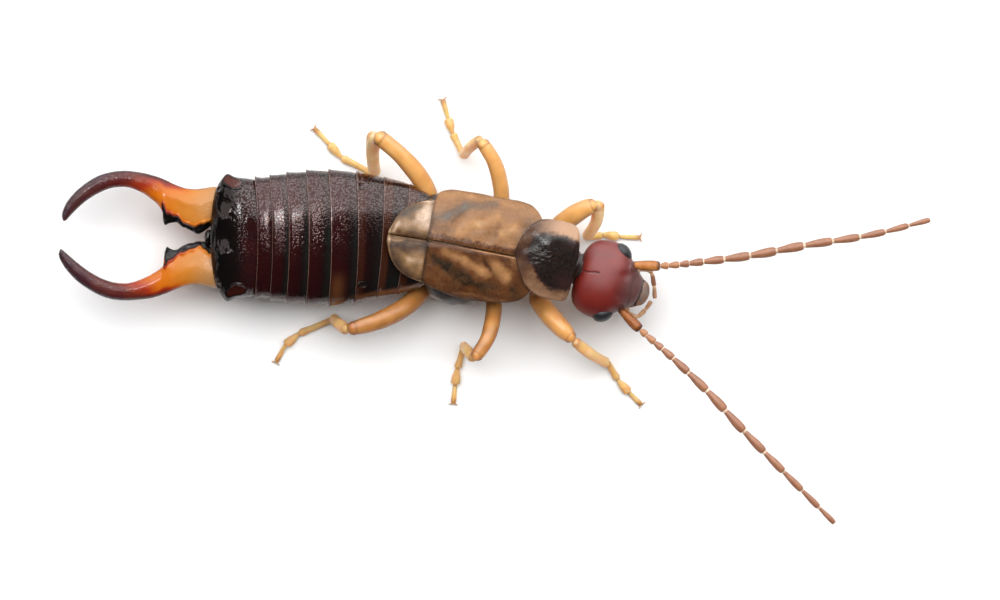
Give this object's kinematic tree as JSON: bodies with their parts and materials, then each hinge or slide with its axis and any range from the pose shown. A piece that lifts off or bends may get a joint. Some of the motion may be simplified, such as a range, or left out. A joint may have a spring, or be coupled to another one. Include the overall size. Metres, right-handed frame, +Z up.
{
  "type": "earwig",
  "caption": "Standing earwig with a flat jointed abdomen, bowed tail forceps, folded wings and long beaded feelers, its head turned slightly.",
  "frame": {"origin": "on the floor under the middle of the box round the whole animal", "axes": "+X towards the head, +Y the animal's left, +Z up from the floor"},
  "size_m": [0.0261, 0.0129, 0.0029],
  "materials": {
    "head": "deep maroon red, smooth, satin gloss",
    "eye": "slate black, finely faceted",
    "mouth": "brown horn with pale joints",
    "scape": "orange amber",
    "antenna": "rosy brown beads with cream joints",
    "thorax": "near black, finely grained",
    "pronotum": "black disc with translucent tan margins",
    "tegmen": "marbled golden tan and brown, leathery, coppery sheen",
    "wing": "cream folded wing with grey brown edge",
    "abdomen": "dark maroon, punctured, glossy",
    "cercus": "amber root running to grainy dark red, glossy",
    "leg": "golden amber, translucent"
  },
  "bodies": {
    "root": {"abdomen_1": "abdomen", "abdomen_10": "abdomen", "abdomen_2": "abdomen", "abdomen_3": "abdomen", "abdomen_4": "abdomen", "abdomen_5": "abdomen", "abdomen_6": "abdomen", "abdomen_7": "abdomen", "abdomen_8": "abdomen", "abdomen_9": "abdomen", "antenna_left_flagellum": "antenna", "antenna_left_scape": "scape", "antenna_right_flagellum": "antenna", "antenna_right_scape": "scape", "cercus_left": "cercus", "cercus_right": "cercus", "eye_left": "eye", "eye_right": "eye", "head": "head", "hindwing_left": "wing", "hindwing_right": "wing", "labrum": "mouth", "leg_front_left_coxa": "leg", "leg_front_left_femur": "leg", "leg_front_left_tarsus": "leg", "leg_front_left_tibia": "leg", "leg_front_right_coxa": "leg", "leg_front_right_femur": "leg", "leg_front_right_tarsus": "leg", "leg_front_right_tibia": "leg", "leg_hind_left_coxa": "leg", "leg_hind_left_femur": "leg", "leg_hind_left_tarsus": "leg", "leg_hind_left_tibia": "leg", "leg_hind_right_coxa": "leg", "leg_hind_right_femur": "leg", "leg_hind_right_tarsus": "leg", "leg_hind_right_tibia": "leg", "leg_mid_left_coxa": "leg", "leg_mid_left_femur": "leg", "leg_mid_left_tarsus": "leg", "leg_mid_left_tibia": "leg", "leg_mid_right_coxa": "leg", "leg_mid_right_femur": "leg", "leg_mid_right_tarsus": "leg", "leg_mid_right_tibia": "leg", "mandible_left": "mouth", "mandible_right": "mouth", "mesothorax": "thorax", "metathorax": "thorax", "neck": "thorax", "palp_left": "mouth", "palp_right": "mouth", "pronotum": "pronotum", "prothorax": "thorax", "pygidium": "abdomen", "tegmen_left": "tegmen", "tegmen_right": "tegmen"}
  },
  "joints": []
}
